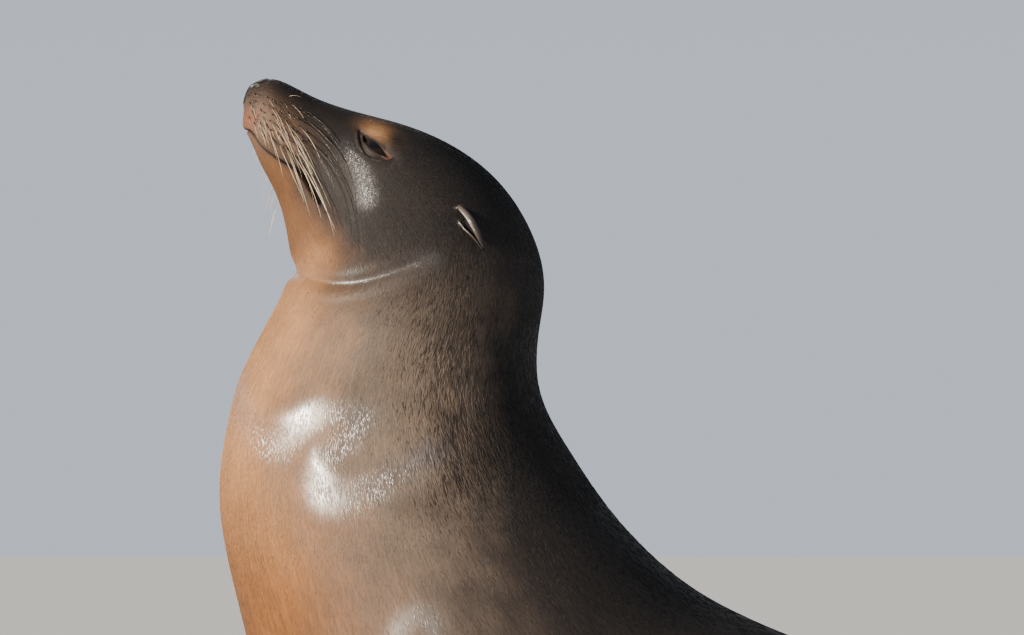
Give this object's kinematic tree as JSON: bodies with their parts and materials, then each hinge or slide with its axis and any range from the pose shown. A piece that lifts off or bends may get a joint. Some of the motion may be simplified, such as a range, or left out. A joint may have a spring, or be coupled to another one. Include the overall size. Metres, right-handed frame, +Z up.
{
  "type": "sea lion",
  "caption": "Adult female California sea lion sitting up on her foreflippers with her head raised, as a still life-size model.",
  "frame": {"origin": "on the floor, under the middle of the animal's whole length and width", "axes": "-Y is the way she faces, +X her left side, +Z up from the floor"},
  "size_m": [0.8342, 1.3, 0.818],
  "materials": {
    "fur": "short sleek wet fur, brown back and tan chest",
    "bare_skin": "bare dark skin of the nose",
    "flipper_skin": "dark leathery flipper skin",
    "eye": "wet dark eyeball",
    "nail": "dark horn nail"
  },
  "bodies": {
    "root": {"head": "fur", "lower_jaw": "fur", "nose": "bare_skin", "neck": "fur", "chest": "fur", "ribcage": "fur", "abdomen": "fur", "rump": "fur", "tail": "fur", "eye_left": "eye", "ear_left": "fur", "foreflipper_left": "flipper_skin", "hindflipper_left": "flipper_skin", "nail_left_1": "nail", "nail_left_2": "nail", "nail_left_3": "nail", "eye_right": "eye", "ear_right": "fur", "foreflipper_right": "flipper_skin", "hindflipper_right": "flipper_skin", "nail_right_1": "nail", "nail_right_2": "nail", "nail_right_3": "nail"}
  },
  "joints": []
}
